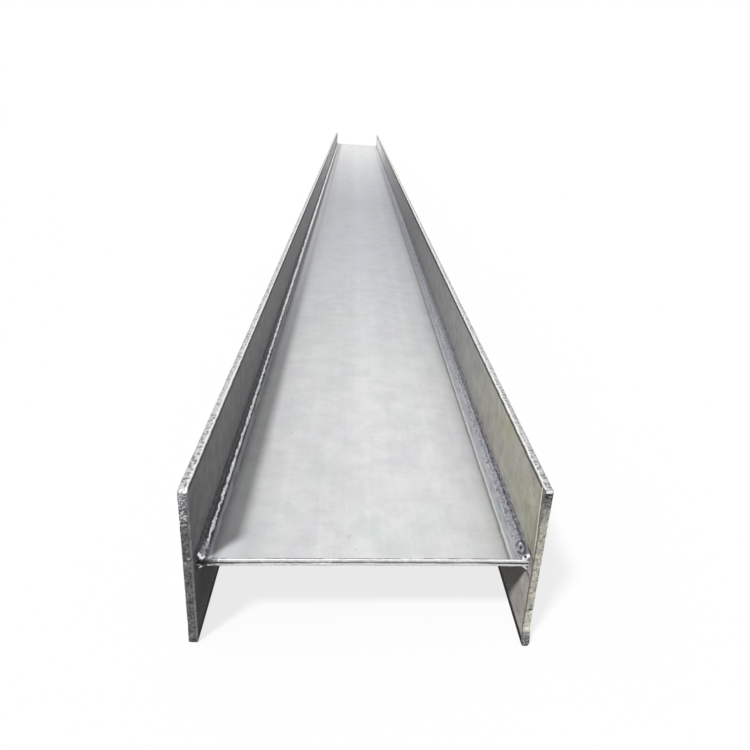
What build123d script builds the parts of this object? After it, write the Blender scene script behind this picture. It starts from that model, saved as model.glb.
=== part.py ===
from build123d import *

import os

# A welded H-section beam: one web plate between two flange plates, joined by
# four fillet welds. It lies on its flange edges, with the web level.
# +Y runs along the beam, +X across it and +Z up. The origin is on the floor,
# in the middle of the length and of the section.

# Driving dimensions in millimetres
beam_length = 6000.0
section_height = 380.0  # from one flange's outer face to the other's
flange_width = 200.0
flange_thickness = 10.0
web_thickness = 8.0

# Near end, where the plates weren't cut in line or quite square
left_end_lean = 6.0  # how far the left flange's bottom stands back from its top
right_end_setback = 10.0  # the right flange's bottom, back from the beam's end
right_end_lean = 6.0  # how far the right flange's top stands back from its bottom
web_left_setback = 17.0  # the web's left and right corners, back from the beam's end
web_right_setback = 25.0

# Edges left by cutting and dressing the plates
web_end_roll = 1.0  # the shear rolls over the upper edge at each end
flange_upper_round = 1.0
left_lower_round = 2.0
right_lower_round = 4.5  # the right flange's lower edges are worn nearly to a half round
flange_lower_corner = 6.0  # worn corner where a lower edge meets an end

# Inner front edges of the flanges: a chamfer down the whole left one, and on the
# right one a flat facet from the top to just above the weld
left_end_chamfer = 2.5
facet_back = 10.0
facet_depth = 1.5
facet_weld_clearance = 2.0  # from the weld's toe up to where the facet runs out

# Fillet welds, which sag onto the web and so have a longer leg there
weld_web_leg = 10.0
weld_flange_leg = 8.0
weld_bulge = 1.1  # how far the bead's face stands out of a flat one
weld_penetration = 1.5  # how deep the root is fused into both plates
weld_end_scale = 0.45  # size of the bead's tip against the bead
weld_shoulder_scale = 0.85
weld_tip_length = 3.0
weld_shoulder_length = 7.0
left_weld_setback = 3.0  # from the web's near end to the bead's tip
right_weld_setback = 1.5
far_weld_setback = 6.0

# Crater where the arc was stopped, at the near end of each upper bead
crater_radius = 6.0
crater_depth = 1.6
crater_setback = 9.0  # from the bead's tip to the middle of the crater

# Worked-out places
clear_width = section_height - 2 * flange_thickness
inner_face = clear_width / 2
near_end = -beam_length / 2
far_end = beam_length / 2
web_middle = flange_width / 2
web_top = web_middle + web_thickness / 2
web_near_left = near_end + web_left_setback
web_near_right = near_end + web_right_setback
left_near_bottom = near_end + left_end_lean
right_near_bottom = near_end + right_end_setback
right_near_top = right_near_bottom + right_end_lean


def make_web_plate():
    """The level plate, cut to fit between the flanges."""
    corners = [
        (-inner_face, web_near_left),
        (inner_face, web_near_right),
        (inner_face, far_end),
        (-inner_face, far_end),
    ]
    outline = make_face(Polyline(corners, close=True))
    level = Pos(0, 0, web_middle) * outline
    plate = extrude(level, amount=web_thickness / 2, both=True)
    upper_edges = plate.faces().sort_by(Axis.Z)[-1].edges()
    end_edges = upper_edges - upper_edges.filter_by(Axis.Y)
    return fillet(end_edges, web_end_roll)


def grind_flat(flange, behind, into, foot):
    """Take off what stands in front of the plane through three points."""
    inward = (into - behind).cross(foot - behind)
    if inward.Y < 0:
        inward = -inward
    ground = Plane(origin=foot, z_dir=inward)
    return split(flange, bisect_by=ground, keep=Keep.TOP)


def chamfer_left_end(flange):
    """A chamfer where the left flange's near end meets its inner face."""
    face = -inner_face
    into = face - left_end_chamfer
    return grind_flat(
        flange,
        behind=Vector(face, near_end + left_end_chamfer, flange_width),
        into=Vector(into, near_end, flange_width),
        foot=Vector(into, left_near_bottom, 0),
    )


def facet_right_end(flange):
    """A flat facet on the right flange's inner front edge, down to above the weld."""
    facet_foot = web_top + weld_flange_leg + facet_weld_clearance
    near_foot = right_near_bottom + right_end_lean * facet_foot / flange_width
    return grind_flat(
        flange,
        behind=Vector(inner_face, right_near_top + facet_back, flange_width),
        into=Vector(inner_face + facet_depth, right_near_top, flange_width),
        foot=Vector(inner_face, near_foot, facet_foot),
    )


def make_flange(side, near_bottom, near_top, lower_round):
    """An upright plate with rounded edges, on the left (-1) or right (+1).

    It is the rolled bar, cut to the outline that the plate has from the side.
    """
    middle = side * (inner_face + flange_thickness / 2)
    section = Pos(0, flange_width / 2) * Rectangle(flange_thickness, flange_width)
    by_height = section.vertices().sort_by(Axis.Y)
    section = fillet(by_height[:2], lower_round)
    by_height = section.vertices().sort_by(Axis.Y)
    section = fillet(by_height[-2:], flange_upper_round)
    across = Plane(origin=(middle, far_end, 0), x_dir=(1, 0, 0), z_dir=(0, -1, 0))
    bar = extrude(across * section, amount=beam_length)
    corners = [
        (near_bottom, 0),
        (far_end, 0),
        (far_end, flange_width),
        (near_top, flange_width),
    ]
    outline = make_face(Polyline(corners, close=True))
    lower_corners = outline.vertices().sort_by(Axis.Y)[:2]
    outline = fillet(lower_corners, flange_lower_corner)
    upright = Plane(origin=(middle, 0, 0), x_dir=(0, 1, 0), z_dir=(1, 0, 0))
    return bar & extrude(upright * outline, amount=flange_thickness / 2, both=True)


def bead_section(side, up, distance, scale):
    """The bead's section at one place along the beam, at a share of its size.

    Its root lies in both plates, and its toes are level with their faces.
    """
    web_face = web_middle + up * web_thickness / 2
    corner_x = side * inner_face
    web_leg = weld_web_leg * scale
    flange_leg = weld_flange_leg * scale
    hypotenuse = (web_leg**2 + flange_leg**2) ** 0.5
    # The bulge stands square to the line between the two toes
    out_x = web_leg / 2 + weld_bulge * scale * flange_leg / hypotenuse
    out_z = flange_leg / 2 + weld_bulge * scale * web_leg / hypotenuse
    depth = weld_penetration * scale
    root = (corner_x + side * depth, distance, web_face - up * depth)
    web_toe = (corner_x - side * web_leg, distance, web_face)
    crown = (corner_x - side * out_x, distance, web_face + up * out_z)
    flange_toe = (corner_x, distance, web_face + up * flange_leg)
    bead_face = ThreePointArc(web_toe, crown, flange_toe)
    outline = [Line(root, web_toe), bead_face, Line(flange_toe, root)]
    return make_face(Wire(outline))


def make_weld(side, up, near_tip, has_crater):
    """A bead along one seam, drawn in to a rounded tip at both ends."""
    far_tip = far_end - far_weld_setback
    stations = [
        (near_tip, weld_end_scale),
        (near_tip + weld_tip_length, weld_shoulder_scale),
        (near_tip + weld_shoulder_length, 1.0),
        (far_tip - weld_shoulder_length, 1.0),
        (far_tip - weld_tip_length, weld_shoulder_scale),
        (far_tip, weld_end_scale),
    ]
    sections = [bead_section(side, up, place, scale) for place, scale in stations]
    bead = loft(sections, ruled=True)
    if has_crater:
        bead = bead - crater_dish(side, up, near_tip)
    return bead


def crater_dish(side, up, near_tip):
    """The ball whose lower cap is the hollow that the arc left."""
    toe_span = (weld_web_leg**2 + weld_flange_leg**2) ** 0.5
    outward_x = weld_flange_leg / toe_span
    outward_z = weld_web_leg / toe_span
    crown_x = weld_web_leg / 2 + weld_bulge * outward_x
    crown_z = weld_flange_leg / 2 + weld_bulge * outward_z
    lift = crater_radius - crater_depth
    x = side * (inner_face - crown_x - lift * outward_x)
    z = web_middle + up * (web_thickness / 2 + crown_z + lift * outward_z)
    return Pos(x, near_tip + crater_setback, z) * Sphere(crater_radius)


left_tip = web_near_left + left_weld_setback
right_tip = web_near_right + right_weld_setback
upper_left = make_weld(-1, 1, left_tip, True)
upper_right = make_weld(1, 1, right_tip, True)
lower_left = make_weld(-1, -1, left_tip, False)
lower_right = make_weld(1, -1, right_tip, False)
left_flange = chamfer_left_end(
    make_flange(-1, left_near_bottom, near_end, left_lower_round)
)
right_flange = facet_right_end(
    make_flange(1, right_near_bottom, right_near_top, right_lower_round)
)

# The roots of the beads take the place of the plates' metal
parts = {
    "web_plate": make_web_plate() - [upper_left, upper_right, lower_left, lower_right],
    "flange_left": left_flange - [upper_left, lower_left],
    "flange_right": right_flange - [upper_right, lower_right],
    "weld_upper_left": upper_left,
    "weld_upper_right": upper_right,
    "weld_lower_left": lower_left,
    "weld_lower_right": lower_right,
}

os.makedirs("parts", exist_ok=True)
for name, part in parts.items():
    export_step(part, f"parts/{name}.step")
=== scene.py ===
import bmesh
import bpy
import math
from mathutils import Euler, Matrix, Vector


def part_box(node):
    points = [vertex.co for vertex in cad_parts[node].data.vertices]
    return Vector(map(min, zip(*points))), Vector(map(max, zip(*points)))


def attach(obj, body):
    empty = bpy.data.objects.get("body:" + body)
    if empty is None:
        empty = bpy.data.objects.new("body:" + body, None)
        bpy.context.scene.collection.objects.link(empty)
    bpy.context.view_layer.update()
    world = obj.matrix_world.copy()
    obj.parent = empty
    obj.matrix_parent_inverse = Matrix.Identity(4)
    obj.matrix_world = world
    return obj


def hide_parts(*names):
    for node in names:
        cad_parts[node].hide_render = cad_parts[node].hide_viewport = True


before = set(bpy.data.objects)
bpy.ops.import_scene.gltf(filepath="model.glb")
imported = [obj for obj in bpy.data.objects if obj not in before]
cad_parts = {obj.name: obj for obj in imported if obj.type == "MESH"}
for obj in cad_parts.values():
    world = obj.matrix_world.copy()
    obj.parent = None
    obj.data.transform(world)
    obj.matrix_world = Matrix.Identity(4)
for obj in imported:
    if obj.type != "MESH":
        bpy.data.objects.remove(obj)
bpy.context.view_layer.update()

# Places that every piece shares, in metres, read from the frame
leftLow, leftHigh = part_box("flange_left")
rightLow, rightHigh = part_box("flange_right")
webLow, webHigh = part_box("web_plate")
innerFace = rightLow.x          # from the middle of the beam to a flange's inner face
webMiddle = (webLow.z + webHigh.z) / 2
webHalf = (webHigh.z - webLow.z) / 2
flangeTop = leftHigh.z
farEnd = leftHigh.y
tiny = 0.00005                  # slack when picking by place
nearlyAlong = 0.9               # share of a direction that counts as along an axis


# Working in edit mode

def makeActive(piece):
    bpy.ops.object.select_all(action="DESELECT")
    bpy.context.view_layer.objects.active = piece
    piece.select_set(True)


def openPiece(piece):
    makeActive(piece)
    bpy.ops.object.mode_set(mode="EDIT")
    bpy.ops.mesh.select_all(action="DESELECT")


def closePiece():
    bpy.ops.object.mode_set(mode="OBJECT")


def pick(kind, parts, test):
    bpy.ops.mesh.select_mode(type=kind)
    mesh = bpy.context.object.data
    shape = bmesh.from_edit_mesh(mesh)
    for part in getattr(shape, parts):
        part.select_set(bool(test(part)))
    shape.select_flush_mode()
    bmesh.update_edit_mesh(mesh)


def pickPoints(test):
    pick("VERT", "verts", lambda point: test(point.co))


def pickEdges(test):
    # the test gets the edge's middle, its direction and its length
    def passes(edge):
        first, second = (point.co for point in edge.verts)
        span = second - first
        return test((first + second) / 2, span.normalized(), span.length)

    pick("EDGE", "edges", passes)


def pickFaces(test):
    pick("FACE", "faces", lambda face: test(face.calc_center_median(), face.normal))


def cutAt(place, normal, trim=False):
    # with trim, what lies beyond the cut goes and the cut is closed
    bpy.ops.mesh.select_all(action="SELECT")
    bpy.ops.mesh.bisect(plane_co=place, plane_no=normal, clear_outer=trim, use_fill=trim)
    bpy.ops.mesh.select_all(action="DESELECT")


def paintFaces(piece, material, test):
    # gives the picked faces a material of their own
    if material.name not in piece.data.materials:
        piece.data.materials.append(material)
    slot = piece.data.materials.find(material.name)
    for face in piece.data.polygons:
        if test(face.center, face.normal):
            face.material_index = slot


def roughen(piece, name, waves, weigh):
    # noise in or out along one direction, as much of it at a point as its weight says
    size, direction, strength, middle = waves
    group = piece.vertex_groups.new(name=name)
    for point in piece.data.vertices:
        weight = float(weigh(point.co))
        if weight > 0:
            group.add([point.index], min(weight, 1), "REPLACE")
    noise = bpy.data.textures.new(name + "Noise", "CLOUDS")
    noise.noise_scale = size
    noise.noise_depth = 2
    noise.contrast = 1.6
    change = piece.modifiers.new(name, "DISPLACE")
    change.texture = noise
    change.texture_coords = "LOCAL"
    change.direction = direction
    change.strength = strength
    change.mid_level = middle
    change.vertex_group = group.name
    bpy.context.view_layer.objects.active = piece
    bpy.ops.object.modifier_apply(modifier=change.name)


def pressIn(place, move, reach):
    # pushes the point nearest to the place, and its neighbours with it
    shape = bmesh.from_edit_mesh(bpy.context.object.data)
    nearest = min(shape.verts, key=lambda point: (point.co - Vector(place)).length)
    centre = nearest.co.copy()
    pickPoints(lambda spot: (spot - centre).length < tiny)
    bpy.ops.transform.translate(value=move, use_proportional_edit=True, proportional_edit_falloff="SMOOTH",
                                proportional_size=reach)


def smoothPiece(piece, degrees):
    makeActive(piece)
    bpy.ops.object.shade_smooth_by_angle(angle=math.radians(degrees))


def nameNewPiece(name):
    # also leaves it at the origin, unturned and unscaled
    piece = bpy.context.object
    piece.name = name
    piece.data.name = name
    bpy.ops.object.transform_apply(location=True, rotation=True, scale=True)
    return piece


# Nodes. They all go into one tree at a time, the one on the paper

paper = {"tree": None, "place": None}   # that tree, and the coordinates that it reads
noiseRange = (0.3, 0.7)                 # where nearly all of a noise lies
rampSpan = 3                            # the ramps along the beam run this far each way


def addNode(kind, **settings):
    node = paper["tree"].nodes.new(kind)
    for setting, value in settings.items():
        setattr(node, setting, value)
    return node


def colourOf(tone):
    # a colour from three parts or from one grey
    return (*tone[:3], 1.0) if isinstance(tone, tuple) else (tone, tone, tone, 1.0)


def feed(socket, value):
    # a socket takes either a link or a plain value
    if isinstance(value, bpy.types.NodeSocket):
        paper["tree"].links.new(value, socket)
    else:
        socket.default_value = colourOf(value) if socket.type == "RGBA" else value


def feedAll(node, **values):
    # underscores in a name stand for the spaces of the socket's name
    for label, value in values.items():
        feed(node.inputs[label.replace("_", " ")], value)
    return node.outputs


def maths(operation, first, second=0.0, third=0.0):
    node = addNode("ShaderNodeMath", operation=operation)
    for socket, value in zip(node.inputs, (first, second, third)):
        feed(socket, value)
    return node.outputs[0]


def times(first, *others):
    for other in others:
        first = maths("MULTIPLY", first, other)
    return first


def vectorMaths(operation, first, second):
    node = addNode("ShaderNodeVectorMath", operation=operation)
    feed(node.inputs[0], first)
    feed(node.inputs[1], second)
    return node.outputs


def combine(x, y, z):
    return feedAll(addNode("ShaderNodeCombineXYZ"), X=x, Y=y, Z=z)[0]


def splitUp(vector=None):
    return feedAll(addNode("ShaderNodeSeparateXYZ"), Vector=vector or paper["place"])


def noiseOf(size, detail=3.0, rough=0.55, place=None):
    # size is the width of a blotch, in the units of the coordinates
    scale = maths("DIVIDE", 1.0, size) if isinstance(size, bpy.types.NodeSocket) else 1 / size
    return feedAll(addNode("ShaderNodeTexNoise"), Vector=place or paper["place"], Scale=scale,
                   Detail=detail, Roughness=rough)["Fac"]


def wander(size, width):
    # a drift to and fro, this wide in all
    return times(maths("SUBTRACT", noiseOf(size), 0.5), width)


def remap(value, low, high, toLow=0.0, toHigh=1.0):
    node = addNode("ShaderNodeMapRange", interpolation_type="SMOOTHSTEP")
    return feedAll(node, Value=value, From_Min=low, From_Max=high, To_Min=toLow, To_Max=toHigh)["Result"]


def vary(noise, toLow, toHigh):
    return remap(noise, *noiseRange, toLow, toHigh)


def rampOf(value, low, high, stops):
    # colours or greys at places between low and high
    share = feedAll(addNode("ShaderNodeMapRange"), Value=value, From_Min=low, From_Max=high)["Result"]
    ramp = addNode("ShaderNodeValToRGB")
    points = ramp.color_ramp.elements
    points.remove(points[1])
    for number, (spot, tone) in enumerate(stops):
        position = (spot - low) / (high - low)
        point = points.new(position) if number else points[0]
        point.position = position
        point.color = colourOf(tone)
    return feedAll(ramp, Fac=share)["Color"]


def blend(share, first, second, way="MIX"):
    node = addNode("ShaderNodeMix", data_type="RGBA", blend_type=way, clamp_factor=True)
    return feedAll(node, Factor=share, A=first, B=second)["Result"]


def tinted(base, tint, share=None):
    # the base multiplied by the tint, all over or by a share
    product = blend(1.0, base, tint, "MULTIPLY")
    return product if share is None else blend(share, base, product)


# Node groups

def newGroup(name, inputs, outputs):
    # every group reads coordinates; a tuple is a colour and a plain number is not
    group = bpy.data.node_groups.new(name, "ShaderNodeTree")
    group.interface.new_socket(name="Coordinates", in_out="INPUT", socket_type="NodeSocketVector")
    for label, value in inputs.items():
        kind = "NodeSocketColor" if isinstance(value, tuple) else "NodeSocketFloat"
        socket = group.interface.new_socket(name=label, in_out="INPUT", socket_type=kind)
        socket.default_value = value
    for label in outputs:
        kind = "NodeSocketColor" if label == "Color" else "NodeSocketFloat"
        group.interface.new_socket(name=label, in_out="OUTPUT", socket_type=kind)
    given = group.nodes.new("NodeGroupInput").outputs
    paper.update(tree=group, place=given["Coordinates"])
    return group, given, group.nodes.new("NodeGroupOutput").inputs


def useGroup(group, **values):
    return feedAll(addNode("ShaderNodeGroup", node_tree=group), Coordinates=paper["place"], **values)


def makeStreaks():
    # rolling streaks, long along the beam and narrow across it
    group, given, result = newGroup("Rolling Streaks", {"Width": 0.02, "Length": 1.0, "Detail": 4.0},
                                    ["Value"])
    size = combine(given["Width"], given["Length"], given["Width"])
    shrunk = vectorMaths("DIVIDE", given["Coordinates"], size)[0]
    feed(result["Value"], noiseOf(1.0, given["Detail"], 0.6, shrunk))
    return group


def makeTints():
    # soft patches of two tints over a base colour
    group, given, result = newGroup(
        "Tint Patches",
        {"Base": (0.7, 0.7, 0.7, 1), "First Tint": (0.7, 0.72, 0.74, 1), "Second Tint": (0.72, 0.7, 0.72, 1),
         "Amount": 0.5, "Size": 0.1},
        ["Color"])
    size = combine(given["Size"], times(given["Size"], 3.0), given["Size"])
    shrunk = vectorMaths("DIVIDE", given["Coordinates"], size)[0]
    moved = vectorMaths("ADD", shrunk, (13.7, 5.1, 9.3))[0]
    toned = given["Base"]
    for place, tint in ((shrunk, "First Tint"), (moved, "Second Tint")):
        share = remap(noiseOf(1.0, 2.0, place=place), 0.5, 0.72)
        toned = blend(times(share, given["Amount"]), toned, given[tint])
    feed(result["Color"], toned)
    return group


def makeSpeckle():
    # hard small spots, as on a cut or scaled edge
    group, given, result = newGroup("Speckle", {"Size": 0.003, "Threshold": 0.55, "Softness": 0.06},
                                    ["Mask"])
    high = maths("ADD", given["Threshold"], given["Softness"])
    feed(result["Mask"], remap(noiseOf(given["Size"], 3.0, 0.5), given["Threshold"], high))
    return group


def makeSeamPlaces():
    # how far a point is from the flange's inner face and from the web's face, at any of the four seams
    group, given, result = newGroup("Seam Places", {}, ["From Flange", "From Web"])
    x, _, z = splitUp()
    feed(result["From Flange"], maths("SUBTRACT", innerFace, maths("ABSOLUTE", x)))
    upward = maths("ABSOLUTE", maths("SUBTRACT", z, webMiddle))
    feed(result["From Web"], maths("SUBTRACT", upward, webHalf))
    return group


def makeWobblyBand():
    # 1 along a line at a given distance, fading to each side, with a line that wanders
    group, given, result = newGroup(
        "Wobbly Band",
        {"Distance": 0.0, "Centre": 0.01, "Half Width": 0.002, "Wobble": 0.001, "Wobble Size": 0.02,
         "Edge": 0.5},
        ["Mask"])
    drift = times(maths("SUBTRACT", noiseOf(given["Wobble Size"], 3.0, 0.5), 0.5), given["Wobble"])
    gap = maths("SUBTRACT", maths("ADD", given["Distance"], drift), given["Centre"])
    share = maths("DIVIDE", maths("ABSOLUTE", gap), given["Half Width"])
    feed(result["Mask"], remap(share, given["Edge"], 1.0, 1.0, 0.0))
    return group


streaks = makeStreaks()
tints = makeTints()
speckle = makeSpeckle()
seamPlaces = makeSeamPlaces()
wobblyBand = makeWobblyBand()
print("beam: node groups made")


def streaksOf(width, length):
    return useGroup(streaks, Width=width, Length=length)["Value"]


def spotsOf(size, threshold, softness):
    return useGroup(speckle, Size=size, Threshold=threshold, Softness=softness)["Mask"]


def bandAt(distance, centre, half, wobble, wobbleSize, edge=0.5):
    return useGroup(wobblyBand, Distance=distance, Centre=centre, Half_Width=half, Wobble=wobble,
                    Wobble_Size=wobbleSize, Edge=edge)["Mask"]


# Materials. In a finish, streaks are a width and a length; spots a size, a threshold and a softness;
# a range is two ends, for places along the beam, distances or values of a noise

def newMaterial(name, metallic, shine):
    material = bpy.data.materials.new(name)
    material.use_nodes = True
    shader = material.node_tree.nodes["Principled BSDF"].inputs
    shader["Metallic"].default_value = metallic
    shader["Specular IOR Level"].default_value = shine
    paper["tree"] = material.node_tree
    paper["place"] = addNode("ShaderNodeTexCoord").outputs["Object"]
    return material, shader


def finish(shader, tone, roughness, height, depth):
    # the last links of a material: its colour, its roughness and its bumps
    feed(shader["Base Color"], tone)
    feed(shader["Roughness"], roughness)
    bump = feedAll(addNode("ShaderNodeBump"), Height=height, Distance=depth, Strength=1.0)
    feed(shader["Normal"], bump["Normal"])


webFinish = {
    "base": (0.745, 0.75, 0.75),
    "greenTint": (0.66, 0.73, 0.71),
    "violetTint": (0.70, 0.69, 0.75),
    "tintAmount": 0.55,
    "tintSize": 0.05,
    "wideStreaks": (0.035, 1.8),
    "fineStreaks": (0.005, 0.12),
    "cloudSize": 0.03,
    # the finish along the beam, from the near end to the far one
    "along": ((-2.9, 1.02), (-2.5, 0.97), (-2.1, (0.83, 0.84, 0.85)), (-1.4, (0.70, 0.71, 0.75)),
              (-0.5, (0.61, 0.62, 0.66)), (0.8, (0.81, 0.81, 0.83)), (2.4, 0.99)),
    "dashScale": (90, 420, 90),
    "dashAmount": 0.38,
    "dashTone": (0.42, 0.43, 0.43),
    "smudges": (0.009, 0.69, 0.08),
    "smudgeAmount": 0.35,
    "smudgeTone": (0.30, 0.31, 0.31),
    "rubs": (0.006, 0.02),
    "rubTone": (0.88, 0.89, 0.89),
    # tones beside the beads, by the distance from the flange's face, up to the reach
    "reach": 0.18,
    "besideRight": ((0.0115, 0.55), (0.0150, 0.58), (0.0184, 0.62), (0.0192, 0.86), (0.0200, 0.86),
                    (0.0209, 0.50), (0.0222, 0.36), (0.0238, 0.52), (0.0272, 0.68), (0.0320, 0.76),
                    (0.0420, 0.83), (0.0620, 0.85), (0.0850, 0.95), (0.1000, 0.93), (0.1300, 0.95),
                    (0.1800, 1.0)),
    "besideLeft": ((0.0100, 0.60), (0.0120, 0.95), (0.0140, 0.90), (0.0160, 0.60), (0.0180, 0.62),
                   (0.0210, 0.74), (0.0260, 0.94), (0.0380, 0.94), (0.0500, 0.86), (0.0700, 0.90),
                   (0.0850, 0.93), (0.1300, 0.91), (0.1800, 1.0)),
    "seamLine": (0.0226, 0.0212),       # dark line beside the right bead, near and far
    "seamLineHalf": (0.0017, 0.0046),
    "seamLineTone": 0.10,
    "heated": (0.0165, 0.019),          # the heat tint fades out between these distances
    "heatStreaks": (0.0020, 0.040),
    "heatStreakTint": (0.68, 0.66, 0.75),
    "bluish": (0.93, 0.96, 1.0),
    "shadowLiftAlong": (-2.9, -1.35),      # along the left bead the flange's shadow on the plate is painted paler from here on
    # the pale tone of painted light laid into the flange's shadow along the left seam
    "shadowLift": (0.90, 0.90, 0.91),
    "edgeLineAt": 0.0024,               # grey line behind the near edge
    "edgeLineHalf": 0.0017,
    "edgeLineTone": 0.17,
    "metallic": 0.12,
    "shine": 0.35,
    "roughness": (0.45, 0.55),
}


def makeWebSteel():
    spec = webFinish
    material, shader = newMaterial("Pickled Web Plate", spec["metallic"], spec["shine"])
    x, y = splitUp()[:2]
    toned = useGroup(tints, Base=spec["base"], First_Tint=spec["greenTint"], Second_Tint=spec["violetTint"],
                     Amount=spec["tintAmount"], Size=spec["tintSize"])["Color"]
    wide = streaksOf(*spec["wideStreaks"])
    fine = streaksOf(*spec["fineStreaks"])
    clouds = noiseOf(spec["cloudSize"], 4.0, 0.6)
    toned = tinted(toned, times(vary(wide, 0.95, 1.03), vary(fine, 0.985, 1.01), vary(clouds, 0.93, 1.03)))
    toned = tinted(toned, rampOf(y, -rampSpan, rampSpan, spec["along"]))
    # dents and dashes across the plate, mostly near the end
    crossing = feedAll(addNode("ShaderNodeMapping"), Scale=spec["dashScale"], Vector=paper["place"])[0]
    dashes = remap(noiseOf(1.0, 1.0, place=crossing), 0.66, 0.78)
    near = remap(y, -2.97, -2.3, 1.0, 0.25)
    toned = blend(times(dashes, near, spec["dashAmount"]), toned, spec["dashTone"])
    toned = blend(times(spotsOf(*spec["smudges"]), spec["smudgeAmount"]), toned, spec["smudgeTone"])
    toned = blend(remap(streaksOf(*spec["rubs"]), 0.66, 0.78, 0.0, 0.45), toned, spec["rubTone"])
    # beside each bead the arc's heat has left bands of tint, and farther out the plate is painted darker
    # towards each flange, as painted shade; all fade out far along
    distance = maths("ADD", useGroup(seamPlaces)["From Flange"], wander(0.022, 0.0028))
    isRight = maths("GREATER_THAN", x, 0.0)
    farReach = maths("MULTIPLY_ADD", isRight, 0.38, 0.12)
    reach = times(remap(noiseOf(0.05, 2.0), 0.3, 0.65, 0.90, 1.0), remap(y, 0.7, 2.3, 1.0, farReach))
    tintAndShadeBands = blend(isRight, rampOf(distance, 0.0, spec["reach"], spec["besideLeft"]),
                  rampOf(distance, 0.0, spec["reach"], spec["besideRight"]))
    toned = tinted(toned, tintAndShadeBands, reach)
    line = bandAt(distance, remap(y, -2.8, -1.9, *spec["seamLine"]),
                  remap(y, -2.8, -1.7, *spec["seamLineHalf"]), 0.0, 0.02, 0.1)
    line = times(line, isRight, remap(y, -0.6, 1.2, 0.42, 0.1))
    toned = blend(line, toned, spec["seamLineTone"])
    heat = times(remap(distance, *spec["heated"], 1.0, 0.0), reach)
    heatStreaks = remap(streaksOf(*spec["heatStreaks"]), 0.48, 0.60)
    toned = tinted(toned, spec["heatStreakTint"], times(heatStreaks, heat))
    toned = tinted(toned, spec["bluish"], heat)
    # painted light: farther on, the flange's shadow along the left seam is painted paler and made more
    # metallic
    shadowLift = times(remap(distance, 0.022, 0.055, 1.0, 0.0), remap(y, *spec["shadowLiftAlong"]),
                    remap(distance, 0.0145, 0.026), maths("SUBTRACT", 1.0, isRight))
    toned = blend(times(shadowLift, 0.9), toned, spec["shadowLift"])
    # grey line behind the near edge, which stands askew
    slant = maths("MULTIPLY_ADD", x, webShape["skew"] / (2 * innerFace), webLow.y + webShape["skew"] / 2)
    edgeLine = bandAt(maths("SUBTRACT", y, slant), spec["edgeLineAt"], spec["edgeLineHalf"], 0.0022,
                      0.02, 0.1)
    patchy = remap(noiseOf(0.014), 0.36, 0.56, 0.30, 0.95)
    toned = blend(times(edgeLine, patchy), toned, spec["edgeLineTone"])
    feed(shader["Metallic"], maths("MULTIPLY_ADD", shadowLift, 0.45, spec["metallic"]))
    finish(shader, toned, vary(wide, *spec["roughness"]), maths("ADD", noiseOf(0.0015, 2.0), clouds), 0.00015)
    return material


webEndFinish = {
    # tones up the cut face, from its lower edge: break, burnish and bright roll
    "up": ((0.0, 0.66), (0.0008, 0.93), (0.0024, 0.90), (0.0036, 0.72), (0.0046, 0.92), (0.0080, 0.97)),
    "wander": 0.0011,
    "lineAt": 0.0036,                   # dark line between them
    "lineHalf": (0.0009, 0.0018),       # in the middle, and towards the corners
    "lineTone": 0.03,
    "grains": (0.003, 0.5, 0.15),
    "grainTone": 0.45,
    "scorchFrom": (-0.145, -0.170),     # across the beam, towards the left corner
    "scorch": (0.007, 0.40, 0.12),
    "scorchTone": 0.02,
    "spatterFrom": (0.168, 0.173),      # towards the right corner
    "spatter": (0.006, 0.40, 0.05),
    "spatterTone": 0.95,
    "metallic": 0.15,
    "shine": 0.3,
}


def makeShearedEnd():
    spec = webEndFinish
    material, shader = newMaterial("Sheared Web End", spec["metallic"], spec["shine"])
    x, _, z = splitUp()
    waves = maths("ADD", noiseOf(0.035, 1.0), times(noiseOf(0.006, 2.0), 0.4))
    drift = times(maths("SUBTRACT", waves, 0.7), spec["wander"])
    height = maths("ADD", maths("SUBTRACT", z, webLow.z), drift)
    tone = rampOf(height, 0.0, 0.008, spec["up"])
    sideways = maths("ABSOLUTE", x)
    line = bandAt(height, spec["lineAt"], remap(sideways, 0.10, 0.165, *spec["lineHalf"]), 0.0006, 0.01, 0.3)
    tone = blend(times(line, remap(sideways, 0.08, 0.155, 0.80, 1.0)), tone, spec["lineTone"])
    tone = blend(times(spotsOf(*spec["grains"]), 0.25), tone, spec["grainTone"])
    # scorched black at the left corner, and spattered bright above the line at the right one
    scorched = remap(x, *spec["scorchFrom"], 0.0, 0.95)
    tone = blend(times(scorched, spotsOf(*spec["scorch"])), tone, spec["scorchTone"])
    spattered = times(remap(x, *spec["spatterFrom"], 0.0, 0.9),
                      remap(height, spec["lineAt"], spec["lineAt"] + 0.001))
    tone = blend(times(spattered, spotsOf(*spec["spatter"])), tone, spec["spatterTone"])
    finish(shader, tone, 0.5, noiseOf(0.002), 0.0003)
    return material


plainFinish = {
    # narrow ground or scaled faces: base, spots, how much of them, and their size
    "Ground Strip": ((0.36, 0.36, 0.37), (0.52, 0.52, 0.53), 0.6, 0.006),
    "Facet Scale": ((0.15, 0.145, 0.135), (0.32, 0.31, 0.27), 0.7, 0.006),
    "Facet Line": ((0.93, 0.92, 0.86), (0.60, 0.59, 0.52), 0.5, 0.006),
}


def makePlain(name):
    base, spots, amount, size = plainFinish[name]
    material, shader = newMaterial(name, 0.15, 0.3)
    mask = spotsOf(size, 0.48, 0.14)
    tone = blend(times(mask, amount), base, spots)
    finish(shader, tone, remap(mask, 0.0, 1.0, 0.55, 0.67), noiseOf(size), 0.0003)
    return material


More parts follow.
